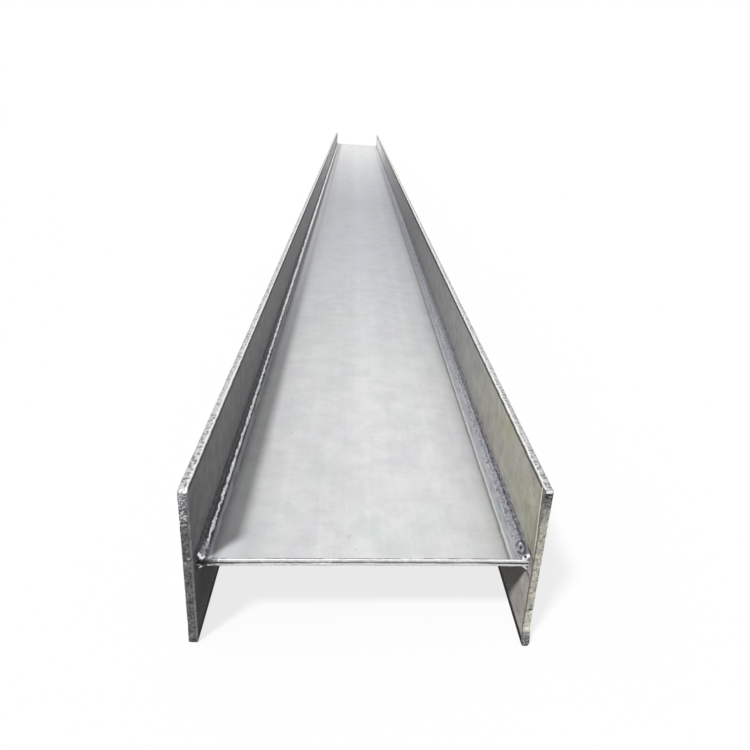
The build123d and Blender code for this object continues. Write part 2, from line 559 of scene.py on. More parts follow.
flangeFinish = {
    # the finish along the beam, from the near end to the far one
    # below: the lower half under the web, painted shade on the left and painted light on the right
    "left": {"along": ((-2.95, (0.37, 0.365, 0.37)), (-2.7, (0.34, 0.34, 0.345)), (-2.1, 0.40),
                       (-1.3, 0.50), (-0.4, 0.62), (0.8, 0.88), (2.4, 0.80)),
             "first": (1.0, 0.90, 1.0), "second": (0.92, 1.0, 0.93), "below": 0.62, "rim": 0.75},
    "right": {"along": ((-2.95, (0.495, 0.485, 0.405)), (-2.7, (0.395, 0.385, 0.345)),
                        (-2.4, (0.305, 0.305, 0.30)), (-1.9, 0.26), (-1.3, 0.22), (-0.5, 0.26),
                        (0.8, 0.40), (2.2, 0.85)),
              "first": (1.0, 0.97, 0.84), "second": (0.93, 0.90, 1.0), "below": (1.64, 1.56, 1.72),
              "rim": 0.82},
    "outside": 0.46,
    "insideFrom": (-0.006, -0.004),     # through the plate, by the distance from the inner face
    "tintAmount": 0.8,
    "tintSize": 0.035,
    "wideStreaks": (0.04, 0.5),
    "cloudSize": 0.022,
    "blotchTint": (0.55, 0.56, 0.5),
    "rimHalf": (0.0021, 0.0052),        # of the dark line under the top edge, near and far
    "rimTone": 0.02,
    "footHeight": (0.010, 0.014),       # of the black lower edge
    "footTone": 0.004,
    "heatTint": (0.74, 0.74, 0.88),
    "beadEdgeBand": (0.0085, 0.0026, 0.005, 0.009),
    "beadEdgeTone": (0.03, 0.03, 0.04),
    "metallic": 0.03,
    "shine": 0.05,
    "roughness": (0.57, 0.70),
}


def makeFlangeSteel(side):
    spec, ofSide = flangeFinish, flangeFinish[side]
    material, shader = newMaterial("Flange Plate " + side.title(), spec["metallic"], spec["shine"])
    _, y, z = splitUp()
    seam = useGroup(seamPlaces)
    patches = useGroup(tints, Base=1.0, First_Tint=ofSide["first"], Second_Tint=ofSide["second"],
                       Amount=spec["tintAmount"], Size=spec["tintSize"])["Color"]
    inside = remap(seam["From Flange"], *spec["insideFrom"])
    toned = blend(inside, spec["outside"], rampOf(y, -rampSpan, rampSpan, ofSide["along"]))
    toned = tinted(toned, patches)
    wide = streaksOf(*spec["wideStreaks"])
    clouds = noiseOf(spec["cloudSize"], 4.0, 0.6)
    toned = tinted(toned, times(vary(wide, 0.93, 1.07), vary(clouds, 0.88, 1.08)))
    # worn blotches near the end; the lower half, under the web, is painted shade on the left and painted
    # light on the right
    blotches = times(remap(noiseOf(0.007), 0.54, 0.68), remap(y, -2.95, -2.84, 0.5, 0.0))
    toned = tinted(toned, spec["blotchTint"], blotches)
    below = times(remap(z, webMiddle - 0.004, webMiddle, 1.0, 0.0), inside)
    toned = tinted(toned, ofSide["below"], below)
    # a dark line under the top edge, wider farther on, and a black lower edge
    half = remap(y, -2.9, -1.2, *spec["rimHalf"])
    rim = bandAt(z, maths("SUBTRACT", flangeTop - 0.0003, half), half, 0.0014, 0.02)
    toned = blend(times(rim, inside, ofSide["rim"]), toned, spec["rimTone"])
    foot = times(remap(z, *spec["footHeight"], 1.0, 0.0), remap(seam["From Flange"], -0.006, -0.002))
    toned = blend(foot, toned, spec["footTone"])
    # heat tint above and below the beads, and a dark band just beyond each bead's toe on the flange
    heat = times(remap(seam["From Web"], 0.008, 0.030, 0.40, 0.0), inside)
    toned = tinted(toned, spec["heatTint"], heat)
    beadEdgeDark = times(bandAt(seam["From Web"], *spec["beadEdgeBand"]),
                 times(remap(noiseOf(0.012), 0.42, 0.60, 0.15, 0.85), inside))
    toned = blend(beadEdgeDark, toned, spec["beadEdgeTone"])
    finish(shader, toned, vary(wide, *spec["roughness"]), maths("ADD", noiseOf(0.002, 2.0), clouds), 0.00025)
    return material


topFinish = {
    # tones across the edge, from its inner corner outwards
    "across": ((0.0, 0.12), (0.0006, 0.25), (0.0015, 0.88), (0.0028, 0.92), (0.0040, 0.66), (0.0062, 0.62),
               (0.0082, 0.58), (0.0092, 0.50), (0.0100, 0.60)),
    "thickness": 0.010,
    "spots": (0.005, 0.48, 0.08),
    "spotStreaks": (0.003, 0.03),
    "spotTone": 0.16,
    "spotAmount": 0.85,
    "dullFrom": (0.0018, 0.0036),
    "metallic": 0.2,
    "shine": 0.3,
}


def makeTopEdge():
    # near-white cut edge, speckled grey outside; the brightest band along the inner corner is a painted
    # highlight
    spec = topFinish
    material, shader = newMaterial("Flange Cut Edge", spec["metallic"], spec["shine"])
    outward = maths("SUBTRACT", wander(0.02, 0.002), useGroup(seamPlaces)["From Flange"])
    tone = rampOf(outward, 0.0, spec["thickness"], spec["across"])
    # the spots lie in streaks, and all over close to the near end
    spread = maths("MAXIMUM", remap(streaksOf(*spec["spotStreaks"]), 0.38, 0.56),
                   remap(splitUp()["Y"], -2.95, -2.82, 1.0, 0.0))
    spots = times(spotsOf(*spec["spots"]), spread, remap(outward, *spec["dullFrom"]), spec["spotAmount"])
    tone = blend(spots, tone, spec["spotTone"])
    finish(shader, tone, 0.5, noiseOf(0.003), 0.0005)
    return material


endFinish = {
    # tones up the cut face, and the colours of its pits, bright grains and larger chips
    "left": {"up": ((0.0, 0.16), (0.100, 0.20), (0.150, 0.17), (0.172, (0.26, 0.26, 0.28)),
                    (0.192, (0.30, 0.31, 0.33)), (0.200, 0.22)),
             "pits": (0.035, 0.035, 0.038), "pitAmount": 0.75, "mottle": (0.65, 1.15),
             "grains": (0.92, 0.92, 0.95), "grainsAt": 0.485, "roughFrom": 0.160, "grainAmount": 0.95,
             "fewGrains": 0.14, "innerLine": 0.0,
             "chips": (((-0.1828, -2.9965, 0.1140), 0.0024, 0.97),)},
    "right": {"up": ((0.0, (0.10, 0.10, 0.11)), (0.016, (0.26, 0.26, 0.27)), (0.020, (0.74, 0.72, 0.62)),
                     (0.095, (0.78, 0.76, 0.65)), (0.150, (0.70, 0.68, 0.59)), (0.174, (0.56, 0.54, 0.50)),
                     (0.180, (0.22, 0.21, 0.21)), (0.1905, 0.15), (0.1930, 0.01), (0.1952, 0.01),
                     (0.1960, 0.92)),
              "pits": (0.20, 0.19, 0.16), "pitAmount": 0.55, "mottle": (0.75, 1.10),
              "grains": (0.92, 0.91, 0.86), "grainsAt": 0.54, "roughFrom": 0.5, "grainAmount": 0.5,
              "fewGrains": 0.35, "innerLine": 0.8,
              "chips": (((0.1862, -2.9885, 0.0900), 0.0022, (0.97, 0.97, 0.93)),
                        ((0.1856, -2.9885, 0.0852), 0.0018, (0.97, 0.97, 0.93)),
                        ((0.1866, -2.9885, 0.0455), 0.0022, (0.05, 0.05, 0.04)))},
    "pitSpots": (0.0045, 0.56, 0.07),
    "grainSize": 0.0022,
    "innerLineTone": (0.12, 0.11, 0.09),
    "metallic": 0.1,
    "shine": 0.25,
}


def makeFlangeEnd(side):
    # rough cut end, mottled and pitted
    spec, ofSide = endFinish, endFinish[side]
    material, shader = newMaterial("Cut End " + side.title(), spec["metallic"], spec["shine"])
    height = maths("ADD", splitUp()["Z"], wander(0.008, 0.012))
    mottle = remap(noiseOf(0.008, 4.0, 0.65), 0.38, 0.62, *ofSide["mottle"])
    tone = tinted(rampOf(height, 0.0, 0.2, ofSide["up"]), mottle)
    tone = blend(times(spotsOf(*spec["pitSpots"]), ofSide["pitAmount"]), tone, ofSide["pits"])
    grains = remap(noiseOf(spec["grainSize"], 1.0), ofSide["grainsAt"], ofSide["grainsAt"] + 0.07)
    amount = remap(height, ofSide["roughFrom"] - 0.008, ofSide["roughFrom"] + 0.004,
                   ofSide["fewGrains"], ofSide["grainAmount"])
    tone = blend(times(grains, amount), tone, ofSide["grains"])
    # a dark line where the end meets the inner face
    inner = remap(useGroup(seamPlaces)["From Flange"], -0.0026, -0.0014, 0.0, ofSide["innerLine"])
    tone = blend(inner, tone, spec["innerLineTone"])
    for place, radius, chip in ofSide["chips"]:
        away = vectorMaths("DISTANCE", paper["place"], place)["Value"]
        ragged = maths("ADD", away, times(maths("SUBTRACT", mottle, 0.9), radius))
        tone = blend(remap(ragged, radius * 0.7, radius, 0.9, 0.0), tone, chip)
    finish(shader, tone, 0.6, noiseOf(0.003, 4.0), 0.0008)
    return material


beadFinish = {
    # pairs are near and far values; distances are from the flange's face
    "left": {"body": (0.086, 0.086, 0.092), "metallic": 0.85, "crest": ((0.95, 0.95, 0.97), 1.0),
             "along": ((-2.9, 1.0), (2.9, 1.0)),
             "crestAt": (0.0076, 0.0079), "half": (0.0018, 0.0050), "wander": 0.0034, "patchy": 0.45,
             "across": ((0.0, 1.0), (0.010, 1.0)),
             "toe": 0.40, "glints": 0.10, "lumps": 0.5, "loop": 0.0, "crater": (-0.1728, -2.9800, 0.1086),
             "secondPit": (-0.1695, -2.9760, 0.1055)},
    "right": {"body": (0.195, 0.195, 0.215), "metallic": 0.6,
              "crest": ((0.36, 0.36, 0.39), (0.24, 0.24, 0.25)),
              "along": ((-2.9, 1.0), (-2.3, 0.90), (-1.6, 0.62), (-0.6, 0.75), (0.8, 1.0), (2.5, 2.0)),
              "crestAt": (0.0060, 0.0060), "half": (0.0022, 0.0026), "wander": 0.0050, "patchy": 0.75,
              "across": ((0.0, 1.15), (0.0030, 0.85), (0.0058, 0.95), (0.0072, 1.25), (0.0086, 2.1),
                         (0.0100, 2.6)),
              "toe": 0.0, "glints": 0.55, "lumps": 0.6, "loop": 0.75, "crater": (0.1745, -2.9740, 0.1085),
              "secondPit": (0.1736, -2.9572, 0.1079)},
    "bodyRange": (0.75, 1.3),
    "lumpStreaks": (0.0034, 0.010),
    "lumpTone": (0.04, 0.04, 0.055),
    "underCrest": 0.0030,               # from the crest to the dark line on its flange side, a line of painted shade
    "underTone": (0.02, 0.02, 0.025),
    "glintSpots": (0.0032, 0.66, 0.03),
    "glintTone": (0.95, 0.95, 0.96),
    "toeTone": (0.05, 0.05, 0.06),
    "plainTipFrom": (-2.962, -2.952),      # the tip in front of here has plain ridges
    "ridgeStreaks": (0.006, 0.0022),
    "ridgeTones": ((0.12, 0.115, 0.135), (0.44, 0.43, 0.47)),
    "craterRim": (0.0034, 0.0021, 0.0036, 0.003, 0.6),
    "rimTone": 0.97,
    "craterPit": (0.0014, 0.0026),
    "smallPit": (0.0010, 0.0028),
    "pitTone": 0.02,
    "loopBand": (0.0042, 0.0010, 0.0034, 0.006, 0.3),
    "loopSquash": 0.40,                 # along the beam, so that the loop is longer that way
    "loopTone": (0.03, 0.03, 0.04),
    "shine": 0.5,
}


def makeBeadMetal(side):
    spec, ofSide = beadFinish, beadFinish[side]
    material, shader = newMaterial("Weld Bead " + side.title(), ofSide["metallic"], spec["shine"])
    x, y = splitUp()[:2]
    seam = useGroup(seamPlaces)
    fromFlange = seam["From Flange"]
    dark, light = (tuple(part * share for part in ofSide["body"]) for share in spec["bodyRange"])
    body = blend(remap(noiseOf(0.004), 0.35, 0.65), dark, light)
    body = tinted(body, rampOf(y, -rampSpan, rampSpan, ofSide["along"]))
    # across the bead; on the right it is painted much paler towards the web toe, as painted light against the
    # shade there
    body = tinted(body, rampOf(fromFlange, 0, beadShape["webLeg"], ofSide["across"]))
    lumps = times(remap(streaksOf(*spec["lumpStreaks"]), 0.52, 0.62),
                  remap(y, -2.85, -1.8, ofSide["lumps"], 0.2))
    body = blend(lumps, body, spec["lumpTone"])
    # the crest, painted bright as a highlight in a line that wanders and breaks
    half = times(remap(y, -2.75, -0.8, *ofSide["half"]), remap(noiseOf(0.014), 0.35, 0.65, 0.6, 1.25))
    centre = remap(y, -2.75, -1.2, *ofSide["crestAt"])
    crest = bandAt(fromFlange, centre, half, ofSide["wander"], 0.011, 0.35)
    broken = maths("MAXIMUM", remap(noiseOf(0.0035, 2.0), 0.38, 0.56, 1 - ofSide["patchy"], 1.0),
                   remap(y, -2.0, -0.8))
    # painted shade: a dark line along the flange side of the crest, near the end
    under = bandAt(fromFlange, maths("SUBTRACT", centre, spec["underCrest"]), 0.0012, ofSide["wander"],
                   0.008, 0.3)
    body = blend(times(under, remap(y, -2.7, -2.3, 0.8, 0.0), broken), body, spec["underTone"])
    tone = blend(times(crest, broken), body, blend(remap(y, -2.8, -2.0), *ofSide["crest"]))
    tone = blend(times(spotsOf(*spec["glintSpots"]), ofSide["glints"]), tone, spec["glintTone"])
    # painted shade in the crease along the web toe
    tone = blend(remap(fromFlange, 0.0090, 0.0101, 0.0, ofSide["toe"]), tone, spec["toeTone"])
    # the ripples are duller towards the near end, and bear no painted highlight there
    ridges = blend(remap(streaksOf(*spec["ridgeStreaks"]), 0.40, 0.60), *spec["ridgeTones"])
    ridges = blend(remap(fromFlange, 0.0030, 0.0045, 1.0, 0.0), ridges, ofSide["body"])
    tone = blend(times(remap(y, *spec["plainTipFrom"], 1.0, 0.0), 0.85), tone, ridges)
    # a bright rim in front of the dark pit where the arc was stopped, a painted highlight, and a smaller pit;
    # the lower beads have them too, mirrored
    mirrored = combine(x, y, maths("ADD", seam["From Web"], webHigh.z))
    crater, pit = (vectorMaths("DISTANCE", mirrored, ofSide[name])["Value"]
                   for name in ("crater", "secondPit"))
    craterY = ofSide["crater"][1]
    pitX, pitY = ofSide["secondPit"][:2]
    rim = times(bandAt(crater, *spec["craterRim"]), remap(y, craterY + 0.0005, craterY + 0.0030, 1.0, 0.0))
    tone = blend(rim, tone, spec["rimTone"])
    tone = blend(remap(crater, *spec["craterPit"], 1.0, 0.0), tone, spec["pitTone"])
    tone = blend(remap(pit, *spec["smallPit"], 1.0, 0.0), tone, spec["pitTone"])
    # the second pit lies in a long dark loop
    along = times(maths("SUBTRACT", y, pitY), spec["loopSquash"])
    beside = maths("SUBTRACT", x, pitX)
    around = maths("SQRT", maths("ADD", times(along, along), times(beside, beside)))
    tone = blend(times(bandAt(around, *spec["loopBand"]), ofSide["loop"]), tone, spec["loopTone"])
    finish(shader, tone, remap(crest, 0.0, 1.0, 0.55, 0.40), noiseOf(0.0018), 0.0003)
    return material


# Plates

def addBlock(name, low, high):
    bpy.ops.mesh.primitive_cube_add(size=1, location=(low + high) / 2, scale=high - low)
    return nameNewPiece(name)


def sliceZone(test, places, normal):
    # cuts only the faces that pass the test, once at each place
    for spot in places:
        pickFaces(test)
        bpy.ops.mesh.bisect(plane_co=spot, plane_no=normal)
    bpy.ops.mesh.select_all(action="DESELECT")


webShape = {
    "skew": 0.008,              # the right corner stands this far behind the left one
    "endZone": 0.010,           # finely cut stretch at the near end
    "topRound": 0.0012,
    "columns": (99, 1),         # cuts across the near end, then cuts of each of those
    "rows": 4,                  # cuts along the near end's stretch
    "lengthCuts": 99,
    "grooveHeight": 0.0036,     # of the fracture line, above the lower face
    "grooveHalf": 0.0010,
    "grooveDepth": 0.0008,
    "waveDepth": 0.002,         # how far back the fracture line's waves reach
    "grainDepth": 0.001,        # and the grain
    "cutDepth": 0.0025,         # and the cut face's own look
    # size, direction, strength and middle level of each noise
    "waves": {"shearWave": (0.030, "Z", 0.0012, 0.5), "shearGrain": (0.003, "Y", 0.0006, 0.0),
              "shearSweep": (0.060, "Y", 0.0010, 0.0)},
    "smooth": 40,
}


def behindWebFace(spot):
    return spot.y - webLow.y - webShape["skew"] * (spot.x + innerFace) / (2 * innerFace)


def aboveGroove(spot):
    return abs(spot.z - webLow.z - webShape["grooveHeight"])


def makeWeb():
    spec = webShape
    web = addBlock("webPlate", webLow, webHigh)
    openPiece(web)
    pickPoints(lambda spot: spot.x > 0 and spot.y < 0)
    bpy.ops.transform.translate(value=(0, spec["skew"], 0))
    pickEdges(lambda middle, along, span: abs(along.x) > nearlyAlong and middle.z > webMiddle)
    bpy.ops.mesh.bevel(offset=spec["topRound"], segments=3, affect="EDGES")
    # the fracture line is a narrow groove in the near face
    for away in (-spec["grooveHalf"], 0, spec["grooveHalf"]):
        cutAt((0, 0, webLow.z + (spec["grooveHeight"] + away)), (0, 0, 1))
    zoneNormal = Vector((-spec["skew"], 2 * innerFace, 0)).normalized()
    cutAt((-innerFace, webLow.y + spec["endZone"], webMiddle), zoneNormal)
    pickEdges(lambda middle, along, span: abs(along.y) > nearlyAlong and span > 1)
    bpy.ops.mesh.subdivide(number_cuts=spec["lengthCuts"])
    for cuts in spec["columns"]:
        pickEdges(lambda middle, along, span: abs(along.x) > nearlyAlong
                  and behindWebFace(middle) < spec["endZone"] + tiny)
        bpy.ops.mesh.subdivide(number_cuts=cuts)
    pickEdges(lambda middle, along, span: abs(along.y) > nearlyAlong and span > spec["endZone"] * 0.4
              and behindWebFace(middle) < spec["endZone"])
    bpy.ops.mesh.subdivide(number_cuts=spec["rows"])
    pickPoints(lambda spot: behindWebFace(spot) < tiny and aboveGroove(spot) < tiny)
    bpy.ops.transform.translate(value=(0, spec["grooveDepth"], 0))
    closePiece()
    for name, weigh in (
        ("shearWave", lambda spot: behindWebFace(spot) < spec["waveDepth"]
         and aboveGroove(spot) < spec["grooveHalf"] + tiny),
        ("shearGrain", lambda spot: behindWebFace(spot) < spec["grainDepth"]),
        ("shearSweep", lambda spot: 1 - behindWebFace(spot) / spec["endZone"]),
    ):
        roughen(web, name, spec["waves"][name], weigh)
    web.data.materials.append(webSteel)
    paintFaces(web, shearedEnd, lambda middle, normal: behindWebFace(middle) < spec["cutDepth"]
               and normal.y < -0.2)
    smoothPiece(web, spec["smooth"])
    return web


flangeShape = {
    "cornerRound": 0.006,       # where a lower edge meets the far end
    "cornerCuts": (22.5, 45.0, 67.5),
    "upperRound": 0.001,
    "endRound": 0.0007,
    "endZone": 0.012,           # finely cut stretch at the near end
    "zoneRows": (0.0020, 0.0050, 0.0085),   # behind the near face
    "rowHeight": 0.0016,
    "columns": 7,
    "lengthCuts": (99, 4),
    "longEdge": 0.03,           # edges longer than this are cut up
    "footReach": 0.026,         # how far up the foot stands forward
    "topDepth": 0.008,          # how far down the top edge's own look reaches
    "footDepth": 0.0008,        # how far up the lower edge's does
    "endDepth": 0.0065,         # and how far back the cut ends' do
    "grainDepth": 0.0012,       # of the end's grain, and of the wear on top
    # size, direction, strength and middle level of each noise
    "waves": {"EndGrain": (0.004, "Y", 0.0011, 0.0), "EndSweep": (0.030, "Y", 0.0014, 0.0),
              "TopWear": (0.020, "Z", -0.0005, -0.1)},
    "smooth": 35,
    "left": {"nearTop": 0.0, "nearBottom": 0.006, "lowerRound": 0.002, "strip": 0.0025,
             "cornerRound": 0.0035, "tipPush": -0.0020, "wornBack": 0.007, "wornDown": 0.0045},
    "right": {"nearTop": 0.006, "nearBottom": 0.0, "lowerRound": 0.0045, "facetBack": 0.010,
              "cornerRound": 0.0020, "tipPush": -0.0080,
              "facetDepth": 0.0015, "facetFoot": 0.114, "line": 0.0015},
}
# nicks and chips in the near ends: how far from the inner face, height, how deep and how wide
flangeNicks = {
    "left": ((0.0085, 0.110, 0.0026, 0.0035), (0.0012, 0.112, 0.0018, 0.0030), (0.0092, 0.030, 0.0016, 0.004),
             (0.0090, 0.070, 0.0014, 0.005), (0.0050, 0.004, 0.0020, 0.004)),
    "right": ((0.0085, 0.043, 0.0030, 0.0030), (0.0088, 0.083, 0.0022, 0.0025),
              (0.0090, 0.140, 0.0020, 0.0040), (0.0085, 0.160, 0.0016, 0.0030),
              (0.0030, 0.199, 0.0030, 0.0028), (0.0075, 0.199, 0.0022, 0.0022),
              (0.0092, 0.070, 0.0016, 0.0030), (0.0050, 0.012, 0.0014, 0.0040)),
}


def nearFace(side, height):
    # where the flange's near end stands at a height
    low = leftLow if side == "left" else rightLow
    ends = flangeShape[side]
    return low.y + ends["nearBottom"] + (ends["nearTop"] - ends["nearBottom"]) * (height / flangeTop)


def grindFlat(behind, into, foot):
    # takes off what stands in front of the plane through three points
    outward = (into - behind).cross(foot - behind).normalized()
    if outward.y > 0:
        outward = -outward
    cutAt(foot, outward, trim=True)
    return outward


def roundLowerCorner(endY, outward, radius):
    # cuts that touch the worn corner's circle
    centre = Vector((0, endY - outward * radius, radius))
    for degrees in flangeShape["cornerCuts"]:
        turn = math.radians(degrees)
        normal = Vector((0, outward * math.cos(turn), -math.sin(turn)))
        cutAt(centre + normal * radius, normal, trim=True)


def makeFlange(side):
    spec, ends = flangeShape, flangeShape[side]
    low, high = (leftLow, leftHigh) if side == "left" else (rightLow, rightHigh)
    sign = -1 if side == "left" else 1
    inner = sign * innerFace
    thickness = high.x - low.x
    footY, topY = nearFace(side, 0), nearFace(side, flangeTop)
    flange = addBlock("flange" + side.title(), Vector((low.x, low.y, 0)), high)
    openPiece(flange)
    for isUpper, offset, segments in ((True, spec["upperRound"], 2), (False, ends["lowerRound"], 5)):
        pickEdges(lambda middle, along, span: abs(along.y) > nearlyAlong
                  and (middle.z > webMiddle) == isUpper)
        bpy.ops.mesh.bevel(offset=offset, segments=segments, affect="EDGES")
    endWay = Vector((0, -flangeTop, ends["nearTop"] - ends["nearBottom"])).normalized()
    cutAt((0, footY, 0), endWay, trim=True)
    roundLowerCorner(footY, -1, ends["cornerRound"])
    roundLowerCorner(farEnd, 1, spec["cornerRound"])
    if side == "left":
        # the worn upper corner, and the chamfer down the inner edge
        cutAt((0, topY + ends["wornBack"], flangeTop),
              Vector((0, -ends["wornDown"], ends["wornBack"])).normalized(), trim=True)
        into = inner - ends["strip"]
        facetNormal = grindFlat(Vector((inner, topY + ends["strip"], flangeTop)),
                                Vector((into, topY, flangeTop)), Vector((into, footY, 0)))
    else:
        # the sloping facet in the upper half, and a fine line along its edge
        behind = Vector((inner, topY + ends["facetBack"], flangeTop))
        foot = Vector((inner, nearFace(side, ends["facetFoot"]), ends["facetFoot"]))
        facetNormal = grindFlat(behind, Vector((inner + ends["facetDepth"], topY, flangeTop)), foot)
        lineWay = (foot - behind).normalized()
        pickEdges(lambda middle, along, span: abs(abs(along.dot(lineWay)) - 1) < 0.001
                  and abs(middle.x - inner) < tiny and middle.y < 0 and span > 0.02)
        bpy.ops.mesh.bevel(offset=ends["line"], segments=2, affect="EDGES")
    # the near face's own edges, a little dulled
    pickFaces(lambda middle, normal: normal.dot(endWay) > 0.999)
    bpy.ops.mesh.region_to_loop()
    bpy.ops.mesh.bevel(offset=spec["endRound"], segments=2, affect="EDGES")

    def behindFace(spot):
        return spot.y - nearFace(side, spot.z)

    def inZone(middle, normal):
        return behindFace(middle) < spec["endZone"]

    # fine rows and columns near the end, and even steps along the rest
    cutAt((0, footY + spec["endZone"], 0), endWay)
    sliceZone(inZone, [Vector((0, footY + back, 0)) for back in spec["zoneRows"]], endWay)
    rows = int(flangeTop / spec["rowHeight"])
    sliceZone(inZone, [Vector((0, 0, spec["rowHeight"] * number)) for number in range(1, rows)], (0, 0, 1))
    sliceZone(inZone, [Vector((low.x + thickness * number / spec["columns"], 0, 0))
                       for number in range(1, spec["columns"])], (1, 0, 0))
    for cuts in spec["lengthCuts"]:
        pickEdges(lambda middle, along, span: abs(along.y) > nearlyAlong and span > spec["longEdge"])
        bpy.ops.mesh.subdivide(number_cuts=cuts)
    # the foot of the near end stands a little forward
    pressIn((inner + sign * thickness / 2, footY, 0), (0, ends["tipPush"], 0), spec["footReach"])
    for fromInner, height, depth, reach in flangeNicks[side]:
        pressIn((inner + sign * fromInner, nearFace(side, height), height), (0, depth, 0), reach)
    closePiece()

    flange.data.materials.append(flangeSteel[side])
    paintFaces(flange, topEdge, lambda middle, normal:
               middle.z > flangeTop - spec["topDepth"] and normal.z > 0.3
               or middle.z < spec["footDepth"] and normal.z < -0.3)
    paintFaces(flange, flangeEnd[side], lambda middle, normal:
               behindFace(middle) < spec["endDepth"] and normal.y < -0.55
               or middle.y > farEnd - spec["endDepth"] and normal.y > 0.55)
    if side == "left":
        paintFaces(flange, groundStrip, lambda middle, normal: inZone(middle, normal)
                   and normal.dot(facetNormal) > 0.98)
    else:
        paintFaces(flange, facetSteel, lambda middle, normal: normal.dot(facetNormal) > 0.9995
                   and middle.y < -2.9)
        paintFaces(flange, facetLine, lambda middle, normal: middle.y < -2.9 and middle.z > ends["facetFoot"]
                   and abs(facetNormal.x) + 0.0008 < abs(normal.x) < 0.9997
                   and middle.z < flangeTop - spec["upperRound"] and abs(middle.x - inner) < ends["line"])
    for name, weigh in (
        ("EndGrain", lambda spot: behindFace(spot) < spec["grainDepth"]),
        ("EndSweep", lambda spot: 1 - behindFace(spot) / spec["endZone"]),
        ("TopWear", lambda spot: spot.z > flangeTop - spec["grainDepth"]),
    ):
        roughen(flange, side + name, spec["waves"][name], weigh)
    smoothPiece(flange, spec["smooth"])
    return flange


# Weld beads. All are made as the one over the web on the left and then mirrored

beadShape = {
    "webLeg": 0.010,
    "flangeLeg": 0.008,
    "bulge": 0.0011,
    "root": 0.0015,             # how deep the bead's back lies in the plates
    "sides": 64,                # of the whole cylinder that the slice is cut from
    "pitch": 0.004,             # from ripple to ripple
    "steps": ((0.25, 0.00014), (0.5, 0.00024), (0.75, 0.00017)),
    "crescent": 0.0016,         # how far a ripple's middle runs ahead of its ends
    "bow": ((0.0062, 0.4), (0.0045, 0.35), (0.0025, 0.25)),     # reach from the crown, share of that
    "tip": ((0.0035, 0.94), (0.0035, 0.72)),
    "tipFlat": 0.4,             # how much each step of the tip is flattened along the beam
    "shoulder": 0.007,
    "fineLength": 0.030,        # cut finer at the near end
    "drawnFrom": 0.7,           # this share of the shoulder is drawn out over the plate's end
    # size, direction, strength and middle level of each noise
    "waves": {"Lumps": (0.012, "NORMAL", 0.0009, 0.5), "Grain": (0.003, "NORMAL", 0.0004, 0.5)},
    "smooth": 60,
}


def beadCentre():
    # the middle of the circle through both toes, out by the bulge
    webLeg, flangeLeg, bulge = beadShape["webLeg"], beadShape["flangeLeg"], beadShape["bulge"]
    chord = math.hypot(webLeg, flangeLeg)
    radius = (chord * chord / 4 + bulge * bulge) / (2 * bulge)
    back = radius - bulge
    return radius, webLeg / 2 - back * flangeLeg / chord, flangeLeg / 2 - back * webLeg / chord


def makeSlice(name, nearY):
    # one ripple of the bead, open at both ends
    spec = beadShape
    radius, fromFlange, fromWeb = beadCentre()
    backX, backZ = -innerFace - spec["root"], webHigh.z - spec["root"]
    axis = Vector((-innerFace + fromFlange, nearY + spec["pitch"] / 2, webHigh.z + fromWeb))
    bpy.ops.mesh.primitive_cylinder_add(vertices=spec["sides"], radius=radius, depth=spec["pitch"],
                                        location=axis, rotation=(math.pi / 2, 0, 0))
    bead = nameNewPiece(name)
    openPiece(bead)
    cutAt((backX, 0, 0), (-1, 0, 0), trim=True)
    cutAt((0, 0, backZ), (0, 0, -1), trim=True)
    pickFaces(lambda middle, normal: abs(normal.y) > nearlyAlong)
    bpy.ops.mesh.delete(type="FACE")
    for share, height in spec["steps"]:
        ringY = nearY + share * spec["pitch"]
        cutAt((0, ringY, 0), (0, 1, 0))
        pickPoints(lambda spot: abs(spot.y - ringY) < tiny and spot.x > backX + tiny
                   and spot.z > backZ + tiny)
        scale = 1 + height / radius
        bpy.ops.transform.resize(value=(scale, 1, scale), center_override=axis)
    # the ripples bow forward in the middle of the bead
    crownX, crownZ = -innerFace + spec["webLeg"] / 2, webHigh.z + spec["flangeLeg"] / 2
    for reach, share in spec["bow"]:
        pickPoints(lambda spot: math.hypot(spot.x - crownX, spot.z - crownZ) < reach
                   and spot.x > backX + tiny)
        bpy.ops.transform.translate(value=(0, share * spec["crescent"], 0))
    closePiece()
    return bead


def capEnd(bead, isNear):
    # draws the open end in to a rounded tip
    spec = beadShape
    openPiece(bead)
    bpy.ops.mesh.select_mode(type="EDGE")
    bpy.ops.mesh.select_non_manifold(extend=False, use_wire=False, use_multi_face=False,
                                     use_non_contiguous=False, use_verts=False)
    shape = bmesh.from_edit_mesh(bead.data)
    middleY = sum((point.co.y for point in shape.verts), 0.0) / len(shape.verts)
    for edge in shape.edges:
        if edge.select and (edge.verts[0].co.y < middleY) != isNear:
            edge.select_set(False)
    shape.select_flush_mode()
    bmesh.update_edit_mesh(bead.data)
    outermost, step = (min, -1) if isNear else (max, 1)
    for length, scale in spec["tip"]:
        bpy.ops.mesh.extrude_edges_move(TRANSFORM_OT_translate={"value": (0, step * length, 0)})
        shape = bmesh.from_edit_mesh(bead.data)
        edgeY = outermost(point.co.y for point in shape.verts if point.select)
        bpy.ops.transform.resize(value=(scale, spec["tipFlat"], scale),
                                 center_override=(-innerFace, edgeY, webHigh.z))
    bpy.ops.mesh.edge_face_add()
    closePiece()


beadPlaces = {
    "weldUpperLeft": {"node": "weld_upper_left", "side": "left", "up": 1, "drawnOut": 0.0020},
    "weldUpperRight": {"node": "weld_upper_right", "side": "right", "up": 1, "drawnOut": 0.0012},
    "weldLowerLeft": {"node": "weld_lower_left", "side": "left", "up": -1, "drawnOut": 0.0020},
    "weldLowerRight": {"node": "weld_lower_right", "side": "right", "up": -1, "drawnOut": 0.0012},
}
